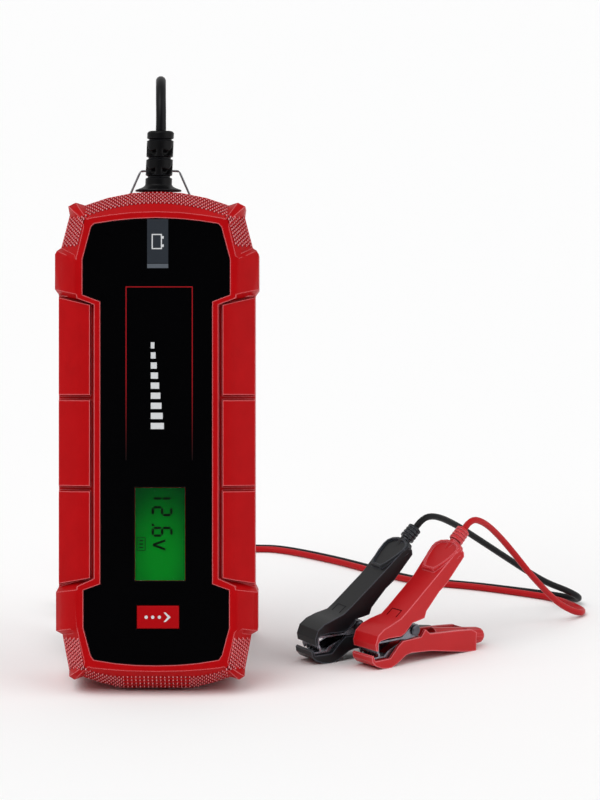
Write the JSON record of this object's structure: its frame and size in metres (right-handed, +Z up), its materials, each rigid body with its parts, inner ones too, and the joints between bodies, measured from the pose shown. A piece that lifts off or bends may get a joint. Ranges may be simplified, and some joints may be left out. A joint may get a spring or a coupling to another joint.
{
  "type": "car battery charger",
  "caption": "Hand-held electronic battery charger with display, button and hanging bail, a plugged mains lead and two battery leads ending in sprung clamps.",
  "frame": {"origin": "middle of the housing's bottom end, on the sloping facet it stands on, at its front edge", "axes": "+Z up, with the housing standing and leaning back by 11 degrees; its display faces -Y; +X to the right as seen from the front"},
  "size_m": [0.2515, 0.2906, 0.2646],
  "materials": {
    "housing_red": "moulded ABS with a fine grained texture",
    "panel_black": "smooth semi-gloss black overlay",
    "window_clear": "clear display lens",
    "display_green": "backlit green liquid crystal display",
    "button_red": "satin moulded key",
    "switch_steel": "stamped",
    "circuit_board": "green solder mask on glass epoxy",
    "ferrite": "pressed ferrite",
    "component_black": "moulded epoxy and shrink sleeve",
    "copper_wire": "enamelled copper winding",
    "aluminium": "extruded",
    "fuse_glass": "glass tube with end caps",
    "relay_blue": "moulded",
    "screw_steel": "zinc plated",
    "pvc_black": "soft moulded PVC",
    "pvc_red": "soft moulded PVC",
    "plug_black": "soft moulded PVC",
    "pin_plated": "nickel-plated brass",
    "wire_steel": "zinc-plated spring wire",
    "clamp_red": "satin moulded",
    "clamp_black": "satin moulded",
    "jaw_steel": "zinc-plated pressed sheet"
  },
  "bodies": {
    "root": {"front_shell": "housing_red", "rear_shell": "housing_red", "front_panel": "panel_black", "display_window": "window_clear", "control_board": "circuit_board", "power_board": "circuit_board", "transformer_core": "ferrite", "transformer_winding": "copper_wire", "heat_sink": "aluminium", "bulk_capacitor": "component_black", "output_capacitor": "component_black", "mains_fuse": "fuse_glass", "output_relay": "relay_blue", "power_transistor": "component_black", "rectifier_bridge": "component_black", "output_choke": "copper_wire", "tact_switch": "switch_steel", "display_module": "display_green", "housing_screw_1": "screw_steel", "housing_screw_2": "screw_steel", "housing_screw_3": "screw_steel", "housing_screw_4": "screw_steel", "housing_screw_5": "screw_steel", "housing_screw_6": "screw_steel", "mains_relief": "pvc_black", "lead_relief": "pvc_black", "mains_cord": "pvc_black", "mains_coil": "pvc_black", "mains_tail": "pvc_black", "mains_plug": "plug_black", "plug_pin_1": "pin_plated", "plug_pin_2": "pin_plated", "black_lead_entry": "pvc_black", "black_lead_coil": "pvc_black", "black_lead_run": "pvc_black", "red_lead_entry": "pvc_red", "red_lead_coil": "pvc_red", "red_lead_run": "pvc_red", "black_lower_grip": "clamp_black", "black_lower_jaw": "jaw_steel", "black_pivot_pin": "jaw_steel", "black_clamp_spring": "jaw_steel", "red_lower_grip": "clamp_red", "red_lower_jaw": "jaw_steel", "red_pivot_pin": "jaw_steel", "red_clamp_spring": "jaw_steel"},
    "mode_button": {"mode_button": "button_red"},
    "bail": {"bail_wire": "wire_steel"},
    "red_clamp_upper": {"red_upper_grip": "clamp_red", "red_upper_jaw": "jaw_steel", "red_cable_boot": "pvc_red"},
    "black_clamp_upper": {"black_upper_grip": "clamp_black", "black_upper_jaw": "jaw_steel", "black_cable_boot": "pvc_black"}
  },
  "joints": [
    {"name": "mode_button_press", "type": "slide", "parent": "root", "child": "mode_button", "axis": [0, 0.9816, -0.1908], "range_m": [0, 0.0008], "stiffness_N_per_m": 1500, "springref_m": -0.0002},
    {"name": "bail_swing", "type": "hinge", "parent": "root", "child": "bail", "pos_m": [0, 0.0709, 0.19913], "axis": [-1, 0, 0], "range_deg": [0, 180]},
    {"name": "red_clamp_open", "type": "hinge", "parent": "root", "child": "red_clamp_upper", "pos_m": [0.1114, 0.0474, 0.0152], "axis": [-0.6293, 0.7771, 0], "range_deg": [0, 36], "stiffness_Nm_per_rad": 0.3, "springref_deg": -28.65, "deforming": ["red_clamp_spring", "red_lead_run"]},
    {"name": "black_clamp_open", "type": "hinge", "parent": "root", "child": "black_clamp_upper", "pos_m": [0.0868, 0.0554, 0.0152], "axis": [-0.5225, 0.8526, 0], "range_deg": [0, 36], "stiffness_Nm_per_rad": 0.3, "springref_deg": -28.65, "deforming": ["black_clamp_spring", "black_lead_run"]}
  ]
}
